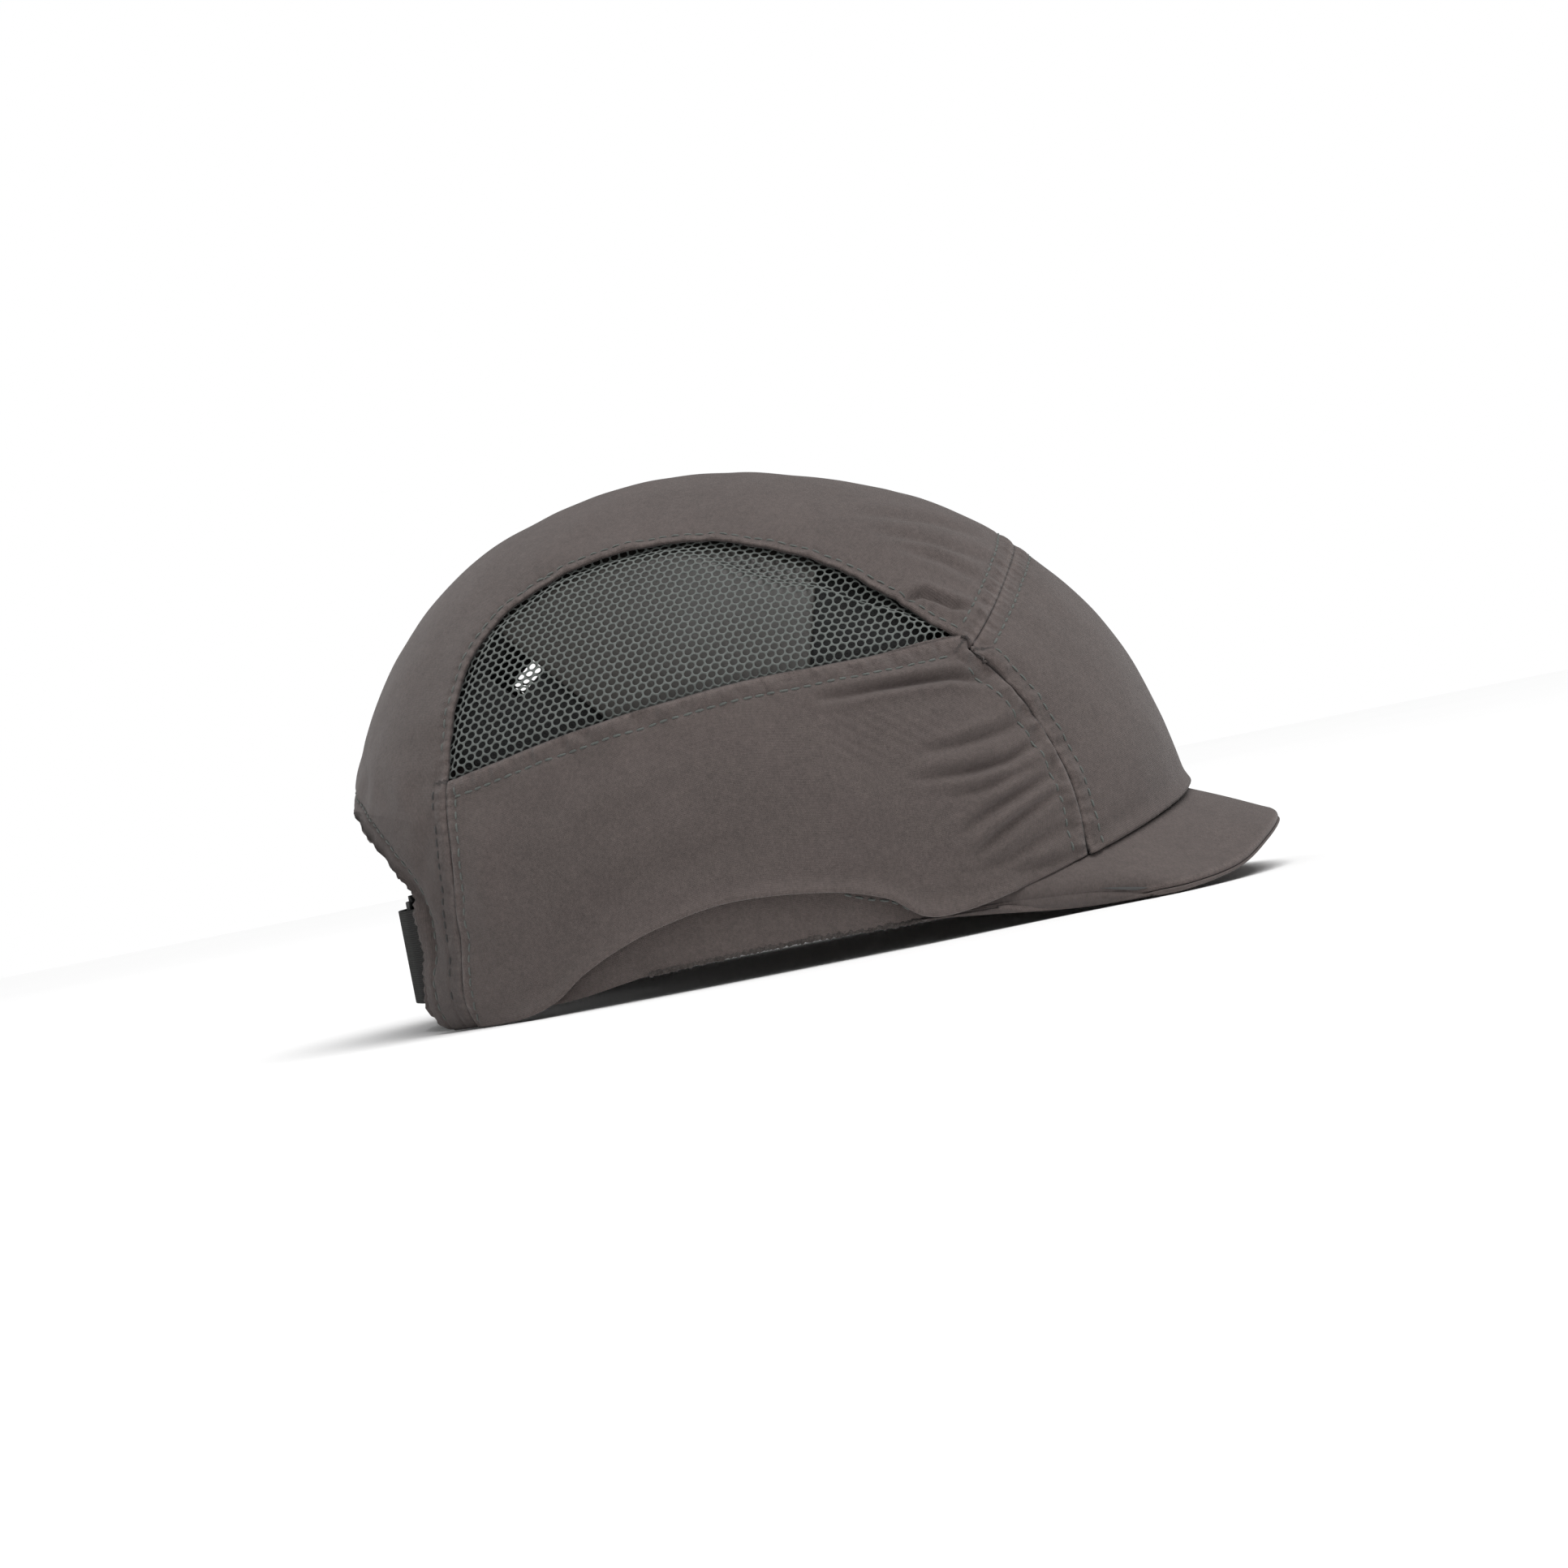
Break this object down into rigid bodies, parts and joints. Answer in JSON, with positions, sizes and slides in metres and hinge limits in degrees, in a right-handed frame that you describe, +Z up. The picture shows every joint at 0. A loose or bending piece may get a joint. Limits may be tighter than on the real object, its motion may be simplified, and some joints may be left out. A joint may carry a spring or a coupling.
{
  "type": "short-peaked bump cap",
  "caption": "Fabric bump cap with a short peak, net side vents, a vented shell and foam inside, and a touch-and-close strap across the rear arch.",
  "frame": {"origin": "centre of the cap's footprint, on the surface that it stands on", "axes": "-Y towards the peak (forwards), +X towards the wearer's left, +Z up with the cap level on its peak and its two rear corners"},
  "size_m": [0.1772, 0.2432, 0.1329],
  "materials": {
    "cap_cloth": "fine plain weave, warm grey-brown, matt",
    "air_mesh": "open hexagonal knitted net, grey-green",
    "terry": "looped towelling, matt",
    "seam_tape": "plain woven tape",
    "elastic": "ribbed elastic, gathered",
    "shell_plastic": "moulded ABS, lightly textured",
    "foam": "closed-cell EVA foam, matt black",
    "peak_board": "stiff plastic sheet",
    "webbing": "woven nylon tape, near black",
    "hook_pile": "hook tape, near black",
    "loop_pile": "loop tape, fuzzy near black"
  },
  "bodies": {
    "cap": {"front_panel": "cap_cloth", "crown_panel": "cap_cloth", "side_panel_right": "cap_cloth", "side_panel_left": "cap_cloth", "mesh_panel_right": "air_mesh", "mesh_panel_left": "air_mesh", "ear_band_right": "cap_cloth", "ear_band_left": "cap_cloth", "front_sweatband": "terry", "cross_seam_tape": "seam_tape", "front_seam_tape_right": "seam_tape", "front_seam_tape_left": "seam_tape", "arch_elastic": "elastic", "bump_shell": "shell_plastic", "front_pad": "foam", "crown_pad": "foam", "rear_pad": "foam", "side_pad_right": "foam", "side_pad_left": "foam", "peak_top_cover": "cap_cloth", "peak_board": "peak_board", "peak_under_cover": "cap_cloth"},
    "right_strap": {"right_strap": "webbing"},
    "left_strap": {"left_strap": "webbing", "loop_patch": "loop_pile"},
    "strap_tab": {"strap_tab": "webbing", "hook_patch": "hook_pile"}
  },
  "joints": [
    {"name": "strap_adjust", "type": "hinge", "parent": "cap", "child": "right_strap", "pos_m": [0, 0.0205, 0.0205], "axis": [0, 0, -1], "range_deg": [-6.5, 6.5]},
    {"name": "strap_adjust_left", "type": "hinge", "parent": "cap", "child": "left_strap", "pos_m": [0, 0.0205, 0.0205], "axis": [0, 0, -1], "range_deg": [-6.5, 6.5]},
    {"name": "tab_peel", "type": "hinge", "parent": "right_strap", "child": "strap_tab", "pos_m": [-0.00412, 0.11491, 0.0205], "axis": [0, 0, 1], "range_deg": [0, 90]}
  ],
  "couplings": [
    {"joint": "strap_adjust_left", "follows": "strap_adjust", "ratio": -1}
  ]
}
